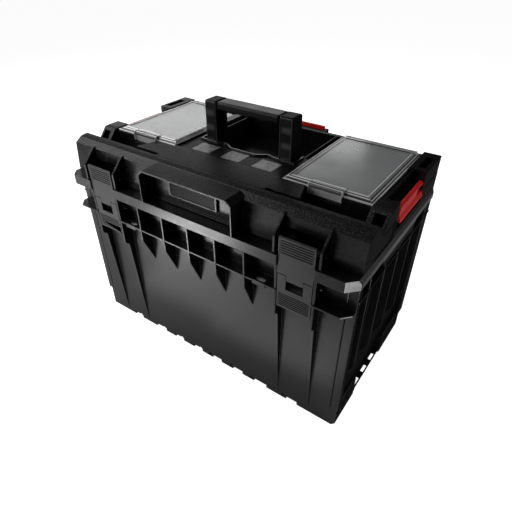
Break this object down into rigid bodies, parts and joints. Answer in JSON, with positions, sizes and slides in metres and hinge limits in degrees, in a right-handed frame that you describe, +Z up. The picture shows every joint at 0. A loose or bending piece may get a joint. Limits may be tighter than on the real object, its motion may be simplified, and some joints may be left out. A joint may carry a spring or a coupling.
{
  "type": "modular toolbox",
  "caption": "Deep stackable toolbox with a hinged lid, two front latches, a fold-down carry handle, two lift-out bins under clear hinged covers and red stacking clips.",
  "frame": {"origin": "centre of the bounding box in plan, on the plane that the base stands on", "axes": "+Z up, +X to the box's left as it looks out of its front, which is the viewer's right, -Y out of the front"},
  "size_m": [0.59, 0.3518, 0.47],
  "materials": {
    "body": "fine grain moulded black",
    "lid": "grained moulded black",
    "seal": "soft black seal",
    "plate": "smooth dark grey",
    "tile": "smooth grey",
    "steel": "bright drawn pin",
    "handle": "satin black",
    "grip": "soft grip",
    "latch": "satin dark grey",
    "bin": "grey moulded",
    "clear": "clear with a slight haze",
    "clip": "satin red"
  },
  "bodies": {
    "body": {"front_flange": "body", "back_flange": "body", "left_flange": "body", "right_flange": "body", "body_front": "body", "body_back": "body", "body_floor": "body", "left_body_side": "body", "right_body_side": "body", "strike_pins": "steel", "lid_hinge_pins": "steel"},
    "lid": {"lid_shell": "lid", "lid_seal": "seal", "sign_plate": "plate", "panel_tiles": "tile", "latch_pins": "steel", "handle_pins": "steel", "side_clip_pins": "steel", "back_clip_pin": "steel"},
    "handle": {"handle_frame": "handle", "handle_grip": "grip"},
    "left_latch": {"left_latch_lever": "latch", "left_flap_pin": "steel"},
    "left_flap": {"left_latch_flap": "latch"},
    "left_bin": {"left_bin_tray": "bin", "left_bin_dividers": "bin", "left_bin_pins": "steel"},
    "left_cover": {"left_bin_cover": "clear"},
    "left_clip": {"left_side_clip": "clip"},
    "right_latch": {"right_latch_lever": "latch", "right_flap_pin": "steel"},
    "right_flap": {"right_latch_flap": "latch"},
    "right_bin": {"right_bin_tray": "bin", "right_bin_dividers": "bin", "right_bin_pins": "steel"},
    "right_cover": {"right_bin_cover": "clear"},
    "right_clip": {"right_side_clip": "clip"},
    "back_clip": {"back_clip": "clip"}
  },
  "joints": [
    {"name": "lid_hinge", "type": "hinge", "parent": "body", "child": "lid", "pos_m": [0, 0.1684, 0.347], "axis": [-1, 0, 0], "range_deg": [0, 100]},
    {"name": "handle_fold", "type": "hinge", "parent": "lid", "child": "handle", "pos_m": [0, 0.0109, 0.38], "axis": [-1, 0, 0], "range_deg": [0, 90]},
    {"name": "left_latch_swing", "type": "hinge", "parent": "lid", "child": "left_latch", "pos_m": [-0.2025, -0.1583, 0.355], "axis": [-1, 0, 0], "range_deg": [0, 100]},
    {"name": "left_flap_swing", "type": "hinge", "parent": "left_latch", "child": "left_flap", "pos_m": [-0.2025, -0.1693, 0.303], "axis": [-1, 0, 0], "range_deg": [0, 60]},
    {"name": "left_bin_lift", "type": "slide", "parent": "lid", "child": "left_bin", "axis": [0, 0, 1], "range_m": [0, 0.08]},
    {"name": "left_cover_swing", "type": "hinge", "parent": "left_bin", "child": "left_cover", "pos_m": [-0.187, 0.1454, 0.401], "axis": [-1, 0, 0], "range_deg": [0, 110]},
    {"name": "left_clip_swing", "type": "hinge", "parent": "lid", "child": "left_clip", "pos_m": [-0.2878, 0.0195, 0.37], "axis": [0, -1, 0], "range_deg": [0, 75]},
    {"name": "right_latch_swing", "type": "hinge", "parent": "lid", "child": "right_latch", "pos_m": [0.2025, -0.1583, 0.355], "axis": [-1, 0, 0], "range_deg": [0, 100]},
    {"name": "right_flap_swing", "type": "hinge", "parent": "right_latch", "child": "right_flap", "pos_m": [0.2025, -0.1693, 0.303], "axis": [-1, 0, 0], "range_deg": [0, 60]},
    {"name": "right_bin_lift", "type": "slide", "parent": "lid", "child": "right_bin", "axis": [0, 0, 1], "range_m": [0, 0.08]},
    {"name": "right_cover_swing", "type": "hinge", "parent": "right_bin", "child": "right_cover", "pos_m": [0.187, 0.1454, 0.401], "axis": [-1, 0, 0], "range_deg": [0, 110]},
    {"name": "right_clip_swing", "type": "hinge", "parent": "lid", "child": "right_clip", "pos_m": [0.2878, 0.0195, 0.37], "axis": [0, 1, 0], "range_deg": [0, 75]},
    {"name": "back_clip_swing", "type": "hinge", "parent": "lid", "child": "back_clip", "pos_m": [0, 0.1709, 0.378], "axis": [-1, 0, 0], "range_deg": [0, 75]}
  ]
}
